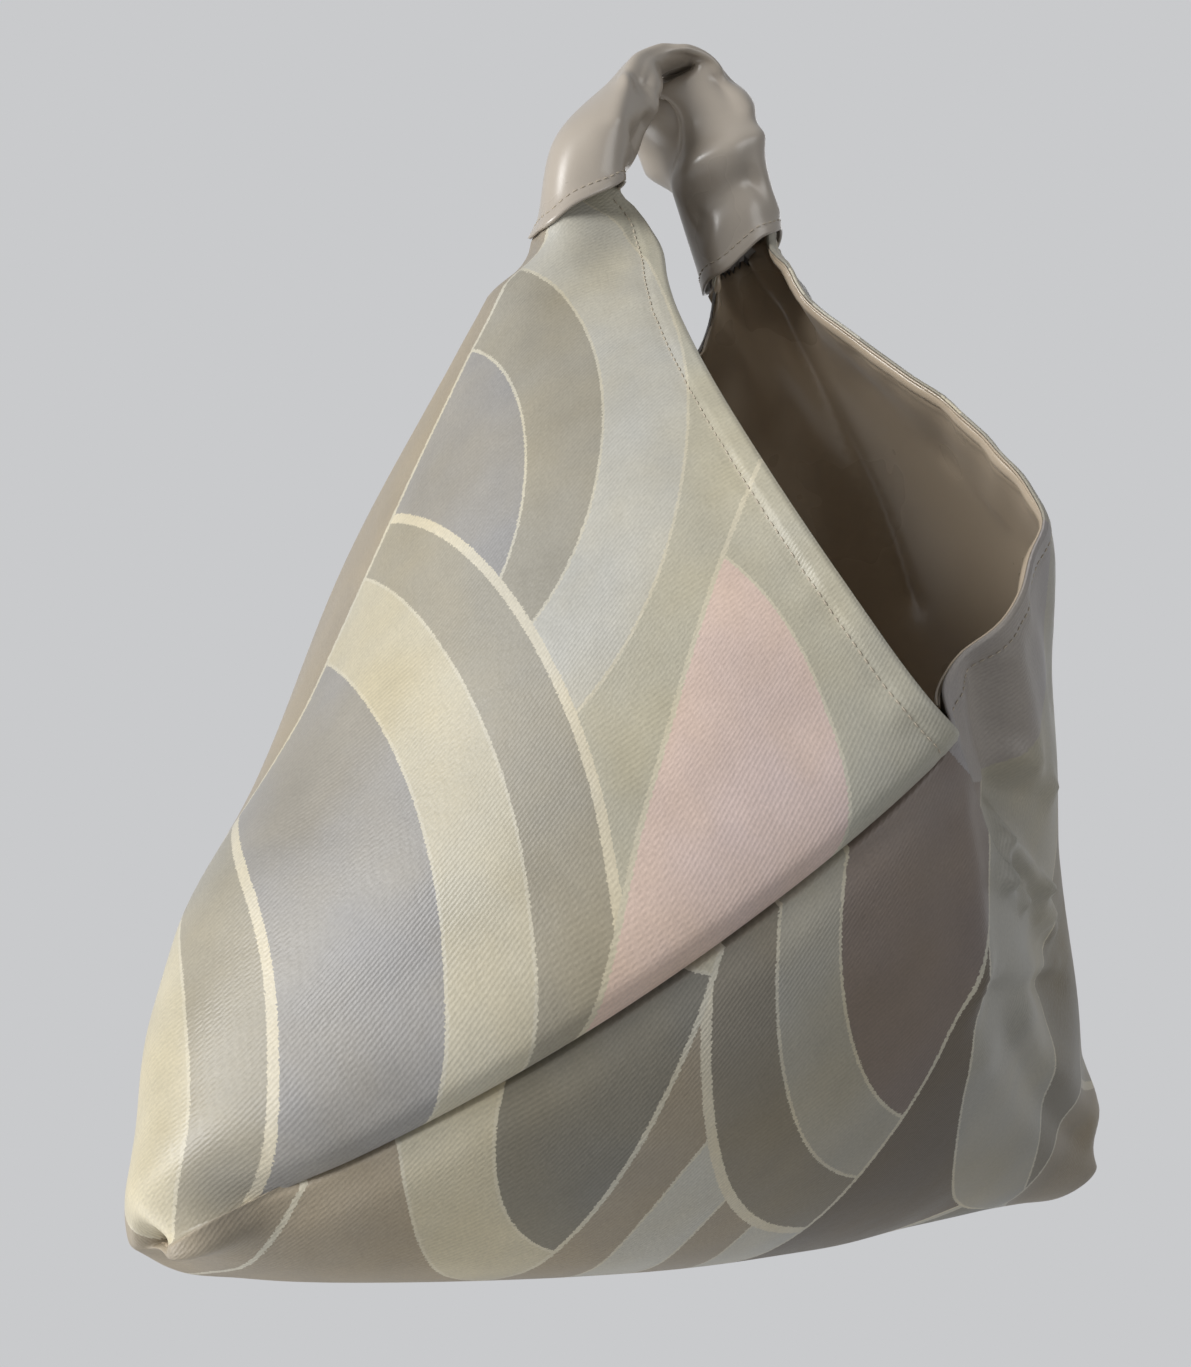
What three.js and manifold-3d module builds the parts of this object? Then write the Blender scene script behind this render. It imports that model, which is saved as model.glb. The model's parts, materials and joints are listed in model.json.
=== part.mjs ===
// Azuma bukuro: a bag folded and sewn from one long strip of brocade, lined, with a satin sleeve for a handle.
// Millimetres, +Z up. X runs from the left bottom corner to the right one. The front valley of the mouth is at -Y.
// The origin is the flat underside of the handle's top, where a hook or a hand holds the bag.
import * as THREE from 'three';
import Module from 'manifold-3d';

// The strip: three equal squares in a row, each cut into a grid of cells for the hanging shape
const panel = 300;
const cells = 16;
const clothThick = 1.0;
const liningThick = 0.4;
const layerGap = 0.4;

// How the strip hangs from its two peaks with some filling in it
const peakGap = 74;
const fullness = 0.28;
const lowFullness = 0.6;
const lowFrom = 150;
const leftShare = 0.8;
const looseFlap = 1.8;
const sag = 0.05;
const bendStiff = 0.3;
const leftCorner = [-206, -6, -29];
const rightCorner = [203, 0, -11];
const rounds = 220;
const heldDepth = 62;
const heldHalf = 1.5;

// The handle sleeve, and the line just above its rims about which the bag swings
const rimDepth = 45;
const swingAboveRim = 2.5;
const tongueAboveSwing = 6;
const sleeveWall = 1.2;
const sleeveSlack = 1.0;
const rimHalfDeep = 12;
const archRise = 61;
const topHalfThick = 7.5;
const topHalfDeep = 17;
const squareness = 4;
const seatHalfAngle = 0.13;
const ringPoints = 20;

// Threads: one line of topstitching along each of the four hems, one ring round each sleeve rim
const threadRadius = 0.35;
const threadLift = 0.35;
const hemInset = 9;
const hemEnd = 8;
const threadStop = 72;
const sleeveStitch = 5;

const { Manifold, Mesh: SolidMesh } = await Module().then((wasm) => {
  wasm.setup();
  return wasm;
});

// Corners of the six right triangles that the bag would lie on if it were empty, with the bottom line at z = 0
const half = panel / Math.SQRT2;
const peakZ = Math.sqrt(2 * panel ** 2 - (half - peakGap / 2) ** 2);
const valleyZ = (peakZ ** 2 - half ** 2 + peakGap ** 2 / 4) / (2 * peakZ);
const valleyY = Math.sqrt(panel ** 2 - half ** 2 - valleyZ ** 2);
const left = new THREE.Vector3(-half, 0, 0);
const right = new THREE.Vector3(half, 0, 0);
const leftPeak = new THREE.Vector3(-peakGap / 2, 0, peakZ);
const rightPeak = new THREE.Vector3(peakGap / 2, 0, peakZ);
const front = new THREE.Vector3(0, -valleyY, valleyZ);
const back = new THREE.Vector3(0, valleyY, valleyZ);

// A place on the triangle at corner o, s of the way along one side and t along the other
function onTriangle(o, a, s, b, t) {
  const p = o.clone().multiplyScalar(1 - s - t);
  return p.addScaledVector(a, s).addScaledVector(b, t);
}

function emptyPlace(s, t) {
  if (s <= 1) {
    if (s + t <= 1) return onTriangle(front, left, s, leftPeak, t);
    return onTriangle(back, leftPeak, 1 - s, left, 1 - t);
  }
  if (s <= 2) {
    if (s - 1 >= t) return onTriangle(front, left, 2 - s, right, t);
    return onTriangle(back, right, s - 1, left, 1 - t);
  }
  if (s - 2 + t <= 1) return onTriangle(front, rightPeak, s - 2, right, t);
  return onTriangle(back, right, 3 - s, rightPeak, 1 - t);
}

// A peak's tip is folded flat and held in the sleeve: the place there of a point of the strip, side -1 or +1
function heldPlace(u, v, side) {
  const toBack = side < 0 ? u : v;
  const toFront = side < 0 ? panel - v : 3 * panel - u;
  const down = (toBack + toFront) / Math.SQRT2;
  const across = (toBack - toFront) / Math.SQRT2;
  const peak = side < 0 ? leftPeak : rightPeak;
  const fold = (side < 0 ? left : right).clone().sub(peak).normalize();
  const inward = new THREE.Vector3(side * fold.z, 0, side * -fold.x);
  const p = peak.clone().addScaledVector(fold, down).addScaledVector(inward, Math.abs(across));
  p.y = Math.sign(across) * heldHalf * Math.min(1, Math.abs(across) / 6);
  return p;
}

// Point numbers of the grid. Two edges of the strip are sewn to its middle square, so they share its points
const cell = panel / cells;
const id = [];
const strip = [];
for (let i = 0; i <= 3 * cells; i++) {
  id.push([]);
  for (let j = 0; j <= cells; j++) {
    const sewn = (j === 0 && i < cells) || (j === cells && i > 2 * cells);
    id[i].push(sewn ? -1 : strip.length);
    if (!sewn) strip.push([i, j]);
  }
}
for (let i = 0; i < cells; i++) {
  id[i][0] = id[2 * cells - i][0];
  id[3 * cells - i][cells] = id[cells + i][cells];
}

const count = strip.length;
const at = new Float64Array(3 * count);
const free = new Float64Array(count).fill(1);
for (let n = 0; n < count; n++) {
  const [i, j] = strip[n];
  let p = emptyPlace(i / cells, j / cells);
  const side = i < 1.5 * cells ? -1 : 1;
  const onPeakPanel = i <= cells || i >= 2 * cells;
  const held = heldPlace(i * cell, j * cell, side);
  if (onPeakPanel && held.z > peakZ - heldDepth) {
    p = held;
    free[n] = 0;
  }
  p.toArray(at, 3 * n);
}

// Springs of the cloth: along the threads, across the cells, and two cells long against bending
const stretch = new Map();
const bend = new Map();
function tie(list, a, b, length, stiff) {
  const key = Math.min(a, b) * count + Math.max(a, b);
  if (a !== b && !stretch.has(key) && !list.has(key)) list.set(key, [a, b, length, stiff]);
}
for (let i = 0; i <= 3 * cells; i++) {
  for (let j = 0; j <= cells; j++) {
    if (i < 3 * cells) tie(stretch, id[i][j], id[i + 1][j], cell, 1);
    if (j < cells) tie(stretch, id[i][j], id[i][j + 1], cell, 1);
    if (i < 3 * cells && j < cells) {
      tie(stretch, id[i][j], id[i + 1][j + 1], cell * Math.SQRT2, 0.7);
      tie(stretch, id[i + 1][j], id[i][j + 1], cell * Math.SQRT2, 0.7);
    }
  }
}
for (let i = 0; i <= 3 * cells; i++) {
  for (let j = 0; j <= cells; j++) {
    if (i < 3 * cells - 1) tie(bend, id[i][j], id[i + 2][j], 2 * cell, bendStiff);
    if (j < cells - 1) tie(bend, id[i][j], id[i][j + 2], 2 * cell, bendStiff);
  }
}
for (let i = 0; i < cells; i++) {
  tie(bend, id[i][1], id[2 * cells - i][1], 2 * cell, bendStiff);
  tie(bend, id[3 * cells - i][cells - 1], id[cells + i][cells - 1], 2 * cell, bendStiff);
}

// One pass over a list of springs: each point takes the mean of what its springs ask for
function settle(list) {
  const move = new Float64Array(3 * count);
  const ties = new Float64Array(count);
  for (const [a, b, length, stiff] of list.values()) {
    ties[a] += 1;
    ties[b] += 1;
    const share = free[a] + free[b];
    if (share === 0) continue;
    const dx = at[3 * b] - at[3 * a];
    const dy = at[3 * b + 1] - at[3 * a + 1];
    const dz = at[3 * b + 2] - at[3 * a + 2];
    const size = Math.sqrt(dx * dx + dy * dy + dz * dz);
    const k = (stiff * (size - length)) / (size * share);
    move[3 * a] += k * free[a] * dx;
    move[3 * a + 1] += k * free[a] * dy;
    move[3 * a + 2] += k * free[a] * dz;
    move[3 * b] -= k * free[b] * dx;
    move[3 * b + 1] -= k * free[b] * dy;
    move[3 * b + 2] -= k * free[b] * dz;
  }
  for (let n = 0; n < count; n++) {
    const k = 1.2 / Math.max(1, ties[n]);
    for (let c = 0; c < 3; c++) at[3 * n + c] += k * move[3 * n + c];
  }
}

const place = (n) => new THREE.Vector3().fromArray(at, 3 * n);

// Outward normals at the points, and how much longer an offset has to be where the cloth is folded
function outward() {
  const sum = Array.from({ length: count }, () => new THREE.Vector3());
  const area = new Float64Array(count);
  for (let i = 0; i < 3 * cells; i++) {
    for (let j = 0; j < cells; j++) {
      const ring = [id[i][j], id[i + 1][j], id[i + 1][j + 1], id[i][j + 1]];
      const [a, b, c, d] = ring.map(place);
      const n = d.sub(b).cross(c.sub(a));
      for (const k of ring) {
        sum[k].add(n);
        area[k] += n.length();
      }
    }
  }
  const reach = sum.map((n, k) => 1 / Math.max(0.4, n.length() / area[k]));
  return { normal: sum.map((n) => n.normalize()), reach };
}

// The front right flap hangs looser than the rest: how much more the filling opens it
const loose = new Float64Array(count).fill(1);
for (let i = 2 * cells; i <= 3 * cells; i++) {
  for (let j = 0; j <= cells; j++) {
    const share = 1.15 - j / cells - Math.max(0, i / cells - 2.6);
    loose[id[i][j]] = 1 + (looseFlap - 1) * THREE.MathUtils.clamp(share, 0, 1);
  }
}

// The relaxation: filling pushes out, weight pulls down, the bottom corners are pushed in, the springs settle
const corners = [
  [id[cells][0], left, new THREE.Vector3(...leftCorner)],
  [id[2 * cells][cells], right, new THREE.Vector3(...rightCorner)],
];
for (let round = 0; round < rounds; round++) {
  const { normal } = outward();
  for (let n = 0; n < count; n++) {
    const deep = THREE.MathUtils.clamp((lowFrom - at[3 * n + 2]) / lowFrom, 0, 1.2);
    const lean = THREE.MathUtils.clamp(1 - (leftShare * at[3 * n]) / 200, 0, 2.5);
    const push = (fullness * loose[n] + lowFullness * deep * lean) * free[n];
    at[3 * n] += push * normal[n].x;
    at[3 * n + 1] += push * normal[n].y;
    at[3 * n + 2] += push * normal[n].z - sag * free[n];
  }
  for (const [n, corner, pushed] of corners) {
    free[n] = 0;
    corner.clone().lerp(pushed, Math.min(1, (2 * round) / rounds)).toArray(at, 3 * n);
  }
  for (let pass = 0; pass < 4; pass++) {
    settle(bend);
    settle(stretch);
  }
}
const { normal, reach } = outward();

// Triangles of the cloth, split along the folds from corner to peak and from corner to corner
const faces = [];
for (let i = 0; i < 3 * cells; i++) {
  for (let j = 0; j < cells; j++) {
    const [a, b, c, d] = [id[i][j], id[i + 1][j], id[i + 1][j + 1], id[i][j + 1]];
    const middle = i >= cells && i < 2 * cells;
    if (middle) faces.push([a, c, b], [a, d, c]);
    else faces.push([a, d, b], [b, d, c]);
  }
}
const off = (n, distance) => place(n).addScaledVector(normal[n], reach[n] * distance);

function geometryOf(points, triangles) {
  const geometry = new THREE.BufferGeometry();
  geometry.setAttribute('position', new THREE.Float32BufferAttribute(points.flatMap((p) => p.toArray()), 3));
  geometry.setIndex(triangles.flat());
  return geometry;
}

// A layer of cloth between two distances from the middle of the brocade, with its edges closed
function layer(outer, inner) {
  const points = [];
  for (let n = 0; n < count; n++) points.push(off(n, outer));
  for (let n = 0; n < count; n++) points.push(off(n, inner));
  const triangles = faces.map((f) => f.slice());
  const edges = new Map();
  for (const [a, b, c] of faces) {
    triangles.push([a + count, c + count, b + count]);
    for (const [p, q] of [[a, b], [b, c], [c, a]]) edges.set(p * count + q, [p, q]);
  }
  for (const [p, q] of edges.values()) {
    if (edges.has(q * count + p)) continue;
    triangles.push([q, p, p + count], [q, p + count, q + count]);
  }
  return geometryOf(points, triangles);
}

// The tips are cut off level inside the sleeve, a tongue's height above the swing line
const rimZ = peakZ - rimDepth;
const swingZ = rimZ + swingAboveRim;
function cutLevel(geometry, z) {
  const mesh = new SolidMesh({
    numProp: 3,
    vertProperties: Float32Array.from(geometry.getAttribute('position').array),
    triVerts: Uint32Array.from(geometry.getIndex().array),
  });
  mesh.merge();
  const cut = new Manifold(mesh).trimByPlane([0, 0, -1], -z).getMesh();
  const out = new THREE.BufferGeometry();
  out.setAttribute('position', new THREE.Float32BufferAttribute(cut.vertProperties, 3));
  out.setIndex(Array.from(cut.triVerts));
  return out;
}

// The sleeve: a wide flat tube at each rim that turns into a broad strap over the top
const foldSlope = (half - peakGap / 2) / peakZ;
const hemSlope = Math.tan(Math.PI / 4 - Math.atan(foldSlope));
const tipHalf = (rimDepth * (foldSlope + hemSlope)) / 2;
const legX = peakGap / 2 + (rimDepth * (foldSlope - hemSlope)) / 2;
const rimHalfWide = tipHalf + clothThick + sleeveSlack + sleeveWall;

function sleevePoint(t, phi, grow) {
  const rise = Math.sin(t) ** 2;
  const wide = THREE.MathUtils.lerp(rimHalfWide, topHalfThick, rise) + grow;
  const deep = THREE.MathUtils.lerp(rimHalfDeep, topHalfDeep, rise) + grow;
  const round = 2 / squareness;
  const radial = wide * Math.sign(Math.cos(phi)) * Math.abs(Math.cos(phi)) ** round;
  const y = deep * Math.sign(Math.sin(phi)) * Math.abs(Math.sin(phi)) ** round;
  const out = new THREE.Vector2(-archRise * Math.cos(t), legX * Math.sin(t)).normalize();
  const x = -legX * Math.cos(t) + radial * out.x;
  const z = rimZ + archRise * Math.sin(t) + radial * out.y;
  return new THREE.Vector3(x, y, z);
}
const turns = [];
for (let k = 0; k < ringPoints; k++) turns.push(((2 * k + 1) * Math.PI) / ringPoints);
const stitchTurn = Math.asin(sleeveStitch / archRise);
const climb = [0, stitchTurn, 0.2, 0.36, 0.53, 0.72, 0.92, 1.12, 1.29, Math.PI / 2 - seatHalfAngle];
const stations = climb.concat(climb.map((t) => Math.PI - t).reverse());

// Skin between rings of points that follow each other, each ring the same number of points
function skin(rings, triangles, first, flip, closed) {
  const size = rings[0].length;
  const last = closed ? rings.length : rings.length - 1;
  for (let r = 0; r < last; r++) {
    const next = (r + 1) % rings.length;
    for (let k = 0; k < size; k++) {
      const k2 = (k + 1) % size;
      const [a, b] = [first + r * size + k, first + r * size + k2];
      const [c, d] = [first + next * size + k, first + next * size + k2];
      if (flip) triangles.push([a, c, b], [b, c, d]);
      else triangles.push([a, b, c], [b, d, c]);
    }
  }
}

function sleeve() {
  const outer = stations.map((t) => turns.map((phi) => sleevePoint(t, phi, 0)));
  const inner = stations.map((t) => turns.map((phi) => sleevePoint(t, phi, -sleeveWall)));
  const triangles = [];
  const start = outer.flat().length;
  skin(outer, triangles, 0, true, false);
  skin(inner, triangles, start, false, false);
  const end = start - ringPoints;
  for (let k = 0; k < ringPoints; k++) {
    const k2 = (k + 1) % ringPoints;
    triangles.push([k, k2, start + k], [k2, start + k2, start + k]);
    triangles.push([end + k, end + start + k, end + k2], [end + k2, end + start + k, end + start + k2]);
  }
  return geometryOf(outer.flat().concat(inner.flat()), triangles);
}

// A thread of six sides along points that carry the normal of the cloth under them
function thread(path, closed) {
  const rings = path.map(({ point, up }, k) => {
    const before = path[closed ? (k + path.length - 1) % path.length : Math.max(0, k - 1)].point;
    const after = path[closed ? (k + 1) % path.length : Math.min(path.length - 1, k + 1)].point;
    const along = after.clone().sub(before).normalize();
    const side = along.clone().cross(up).normalize();
    const lift = side.clone().cross(along);
    return [0, 1, 2, 3, 4, 5].map((n) => {
      const a = (n * Math.PI) / 3;
      const p = point.clone().addScaledVector(side, threadRadius * Math.cos(a));
      return p.addScaledVector(lift, threadRadius * Math.sin(a));
    });
  });
  const triangles = [];
  skin(rings, triangles, 0, true, closed);
  const last = 6 * (rings.length - 1);
  for (let n = 1; n < 5 && !closed; n++) {
    triangles.push([0, n, n + 1]);
    triangles.push([last, last + n + 1, last + n]);
  }
  return geometryOf(rings.flat(), triangles);
}

// Topstitching over a hem of an outer square, through every edge of the cloth's triangles that it crosses
const lift = clothThick / 2 + threadLift + threadRadius;
function overCloth(u, v) {
  const i = Math.floor(u / cell + 1e-9);
  const j = Math.floor(v / cell + 1e-9);
  const [s, t] = [u / cell - i, v / cell - j];
  const low = s + t <= 1;
  const three = low ? [id[i][j], id[i + 1][j], id[i][j + 1]] : [id[i + 1][j + 1], id[i][j + 1], id[i + 1][j]];
  const share = low ? [1 - s - t, s, t] : [s + t - 1, 1 - s, 1 - t];
  const point = new THREE.Vector3();
  const up = new THREE.Vector3();
  three.forEach((n, k) => {
    point.addScaledVector(off(n, lift), share[k]);
    up.addScaledVector(normal[n], share[k]);
  });
  return { point, up: up.normalize() };
}
function hemThread(fixed, isU, from, to) {
  const part = fixed / cell - Math.floor(fixed / cell);
  const stops = [from, to];
  for (let k = Math.floor(from / cell); k * cell < to; k++) {
    for (const s of [k * cell, (k + 1 - part) * cell]) if (s > from + 1 && s < to - 1) stops.push(s);
  }
  stops.sort((a, b) => a - b);
  return thread(stops.map((s) => (isU ? overCloth(fixed, s) : overCloth(s, fixed))), false);
}
function rimThread(t) {
  const path = turns.map((phi) => {
    const point = sleevePoint(t, phi, threadLift + threadRadius);
    return { point, up: point.clone().sub(sleevePoint(t, phi, 0)).normalize() };
  });
  return thread(path, true);
}

const brocade = new THREE.MeshStandardMaterial({ color: 0xb9ad9b, roughness: 0.6, name: 'brocade' });
const lining = new THREE.MeshStandardMaterial({ color: 0xa28f7e, roughness: 0.4, name: 'lining_satin' });
const satin = new THREE.MeshStandardMaterial({ color: 0xc7b4a0, roughness: 0.35, name: 'handle_satin' });
const cotton = new THREE.MeshStandardMaterial({ color: 0xb7a68f, roughness: 0.8, name: 'thread' });

const bag = new THREE.Group();
const seat = sleevePoint(Math.PI / 2 - seatHalfAngle, Math.PI, 0).z;
function add(name, geometry, material) {
  const mesh = new THREE.Mesh(geometry.translate(0, 0, -seat), material.clone());
  mesh.name = name;
  bag.add(mesh);
}
const liningOut = -clothThick / 2 - layerGap;
add('outer_strip', cutLevel(layer(clothThick / 2, -clothThick / 2), swingZ + tongueAboveSwing), brocade);
add('lining_strip', cutLevel(layer(liningOut, liningOut - liningThick), swingZ + tongueAboveSwing), lining);
add('handle_sleeve', sleeve(), satin);
add('hem_thread_front_left', hemThread(hemInset, true, hemEnd, panel - threadStop), cotton);
add('hem_thread_back_left', hemThread(panel - hemInset, false, threadStop, panel - hemEnd), cotton);
add('hem_thread_back_right', hemThread(3 * panel - hemInset, true, threadStop, panel - hemEnd), cotton);
add('hem_thread_front_right', hemThread(hemInset, false, 2 * panel + hemEnd, 3 * panel - threadStop), cotton);
add('rim_thread_left', rimThread(stitchTurn), cotton);
add('rim_thread_right', rimThread(Math.PI - stitchTurn), cotton);

console.log('seat above bottom line', seat.toFixed(2), 'swing axis z', (swingZ - seat).toFixed(2));
export default bag;
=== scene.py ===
import json
import math

import bpy
import numpy as np
from mathutils import Matrix, Vector


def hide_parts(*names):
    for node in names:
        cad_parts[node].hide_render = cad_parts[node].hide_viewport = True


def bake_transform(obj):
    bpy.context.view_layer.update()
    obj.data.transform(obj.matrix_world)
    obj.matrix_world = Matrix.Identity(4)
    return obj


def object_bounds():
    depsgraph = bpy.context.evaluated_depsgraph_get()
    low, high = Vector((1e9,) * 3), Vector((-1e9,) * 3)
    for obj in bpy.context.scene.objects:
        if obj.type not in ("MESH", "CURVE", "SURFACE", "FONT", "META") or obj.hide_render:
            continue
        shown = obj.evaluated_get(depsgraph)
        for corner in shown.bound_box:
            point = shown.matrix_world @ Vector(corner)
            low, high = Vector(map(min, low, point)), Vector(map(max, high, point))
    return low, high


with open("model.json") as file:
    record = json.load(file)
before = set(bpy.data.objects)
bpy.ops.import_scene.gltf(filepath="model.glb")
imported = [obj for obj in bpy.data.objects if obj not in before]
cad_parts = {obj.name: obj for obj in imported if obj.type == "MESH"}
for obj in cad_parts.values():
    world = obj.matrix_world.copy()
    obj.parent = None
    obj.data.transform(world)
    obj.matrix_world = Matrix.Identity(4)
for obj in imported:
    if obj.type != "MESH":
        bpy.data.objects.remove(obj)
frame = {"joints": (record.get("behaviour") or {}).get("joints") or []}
cad_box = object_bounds()
swing = Vector(frame["joints"][0]["pos_m"])

# The strip: one length of silk brocade, three squares long, folded on the diagonal, with two of its edges
# sewn to the middle square. It hangs from its two peaks round a loose filling, so its faces are taut but
# rounded.
panel = 0.300
cells = 16
peak_gap = 0.074
swing_below_peak = 0.0425
half = panel / math.sqrt(2)
peak_z = math.sqrt(2 * panel**2 - (half - peak_gap / 2) ** 2)
valley_z = (peak_z**2 - half**2 + peak_gap**2 / 4) / (2 * peak_z)
valley_y = math.sqrt(panel**2 - half**2 - valley_z**2)
left, right = np.array([-half, 0, 0]), np.array([half, 0, 0])
left_peak = np.array([-peak_gap / 2, 0, peak_z])
right_peak = np.array([peak_gap / 2, 0, peak_z])
front, back = np.array([0, -valley_y, valley_z]), np.array([0, valley_y, valley_z])
hang = np.array([0, 0, swing.z - peak_z + swing_below_peak])


def on_triangle(o, a, s, b, t):
    """The point that lies this share s of the way from o to a, and t of the way from o to b."""
    return o + s * (a - o) + t * (b - o)


def empty_place(s, t):
    """Where a point lies while the bag is empty. It is s squares along the strip and t squares across it."""
    if s <= 1 and s + t <= 1:
        return on_triangle(front, left, s, left_peak, t)
    if s <= 1:
        return on_triangle(back, left_peak, 1 - s, left, 1 - t)
    if s <= 2 and s - 1 >= t:
        return on_triangle(front, left, 2 - s, right, t)
    if s <= 2:
        return on_triangle(back, right, s - 1, left, 1 - t)
    if s - 2 + t <= 1:
        return on_triangle(front, right_peak, s - 2, right, t)
    return on_triangle(back, right, 3 - s, right_peak, 1 - t)


# The peaks are held in the sleeve of the handle, a wide strap that twists on its way over. Its sections run
# from the left rim over the top to the right rim. Each is a middle and two half axes, which turn with the
# strap.
mm = 0.001
sleeve_path = mm * np.array([
    [(-41, -2.5, -60), (4, 14, 0), (-16.8, 4.9, -10.6)],
    [(-31.8, -2.4, -33), (14, 9.5, -3), (-8.5, 12.9, -3)],
    [(-11.6, -1.1, -5.5), (7.6, -3.3, -4), (8.5, 14, 2)],
    [(-2.7, 0.9, 5.4), (3.5, -1.4, -2.5), (7.9, 10.3, 1)],
    [(12.4, -1.9, 10.6), (1, -0.7, -2.6), (6.9, 8.5, 0)],
    [(12.1, 0.8, 3.8), (-4.4, -4.1, -3), (-8.9, 13.1, -2.5)],
    [(20.6, -1.9, -9), (-8, -9, -4), (-11.5, 11.3, -2)],
    [(29, -1, -38), (-14.7, -10.3, 0), (-9.8, 13.9, -5)],
    [(40, 1, -64), (-10.9, -13, -0.5), (-11.5, 9.6, -11.2)],
])
right_turn = math.radians(50)


def held_place(u, v, side):
    """Where a point near a peak lies: in an open trough, deeper away from the peak. The right one turns."""
    trough_half, turn_length, from_peak, to_full = 0.012, 0.0245, 0.010, 0.055
    turned_in, least_half = 0.005, 0.0015
    to_back = u if side < 0 else v
    to_front = panel - v if side < 0 else 3 * panel - u
    down = (to_back + to_front) / math.sqrt(2)
    across = (to_back - to_front) / math.sqrt(2)
    peak, low = (left_peak, left) if side < 0 else (right_peak, right)
    fold = (low - peak) / np.linalg.norm(low - peak)
    inward = np.array([side * fold[2], 0, -side * fold[0]])
    open_share = np.clip((down - from_peak) / (to_full - from_peak), 0, 1)
    turned = min(1, abs(across) / turn_length)
    reach = abs(across) - turned_in * open_share * turned**2
    place = peak + down * fold + reach * inward
    trough = trough_half * open_share * math.sin(turned * math.pi / 2)
    place[1] = np.sign(across) * (least_half * turned + trough)
    if side > 0:
        rim_x, rim_y = sleeve_path[-1, 0, :2]
        x, y = place[0] - rim_x, place[1]
        place[0] = rim_x + x * math.cos(right_turn) - y * math.sin(right_turn)
        place[1] = rim_y + x * math.sin(right_turn) + y * math.cos(right_turn)
    return place


def sewn_numbers(n):
    """Point numbers of the strip's grid, n cells to a square. Sewn edges share the middle square's points."""
    number = np.full((3 * n + 1, n + 1), -1)
    own = np.ones_like(number, bool)
    own[:n, 0] = False
    own[2 * n + 1 :, n] = False
    number[own] = np.arange(own.sum())
    for i in range(n):
        number[i, 0] = number[2 * n - i, 0]
        number[3 * n - i, n] = number[n + i, n]
    return number, own


number, own = sewn_numbers(cells)
held_depth = 0.062
cloth = np.zeros((own.sum(), 3))
free = np.ones(len(cloth))
for i, j in np.argwhere(own):
    cloth[number[i, j]] = empty_place(i / cells, j / cells)
    side = -1 if i < 1.5 * cells else 1
    held = held_place(i * panel / cells, j * panel / cells, side)
    if (i <= cells or i >= 2 * cells) and held[2] > peak_z - held_depth:
        cloth[number[i, j]] = held
        free[number[i, j]] = 0


def ties(pairs, length, stiff, seen):
    """Springs between pairs of points, each pair once: both numbers, the length at rest and the stiffness."""
    rows = []
    for a, b in pairs:
        key = (min(a, b), max(a, b))
        if a != b and key not in seen:
            seen.add(key)
            rows.append((a, b, length, stiff))
    return rows


cell = panel / cells
thread_stiff, slant_stiff, bend_stiff = 1.0, 0.7, 0.3
tied = set()
along = list(zip(number[:-1].ravel(), number[1:].ravel()))
across = list(zip(number[:, :-1].ravel(), number[:, 1:].ravel()))
slant = list(zip(number[:-1, :-1].ravel(), number[1:, 1:].ravel()))
slant += list(zip(number[1:, :-1].ravel(), number[:-1, 1:].ravel()))
stretch = ties(along + across, cell, thread_stiff, tied)
stretch += ties(slant, cell * math.sqrt(2), slant_stiff, tied)
far = list(zip(number[:-2].ravel(), number[2:].ravel()))
far += list(zip(number[:, :-2].ravel(), number[:, 2:].ravel()))
far += [(number[i, 1], number[2 * cells - i, 1]) for i in range(cells)]
far += [(number[3 * cells - i, -2], number[cells + i, -2]) for i in range(cells)]
stretch, bend = np.array(stretch), np.array(ties(far, 2 * cell, bend_stiff, tied))
quads = np.stack([number[:-1, :-1], number[1:, :-1], number[1:, 1:], number[:-1, 1:]], -1).reshape(-1, 4)


def settle(points, links):
    """One pass over the springs of the cloth: each point takes the mean of what its springs ask for."""
    eager = 1.2
    a, b = links[:, 0].astype(int), links[:, 1].astype(int)
    gap = points[b] - points[a]
    size = np.linalg.norm(gap, axis=1)
    pull = links[:, 3] * (size - links[:, 2]) / (size * np.maximum(free[a] + free[b], 0.5))
    springs = np.bincount(a, minlength=len(points)) + np.bincount(b, minlength=len(points))
    for axis in range(3):
        move = np.bincount(a, pull * free[a] * gap[:, axis], len(points))
        move -= np.bincount(b, pull * free[b] * gap[:, axis], len(points))
        points[:, axis] += eager * move / np.maximum(springs, 1)


def outward(points):
    """The direction out of the bag at each point of the coarse grid."""
    face = np.cross(points[quads[:, 3]] - points[quads[:, 1]], points[quads[:, 2]] - points[quads[:, 0]])
    out = np.zeros_like(points)
    for corner in quads.T:
        np.add.at(out, corner, face)
    return out / np.maximum(np.linalg.norm(out, axis=1), 1e-12)[:, None]


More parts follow.
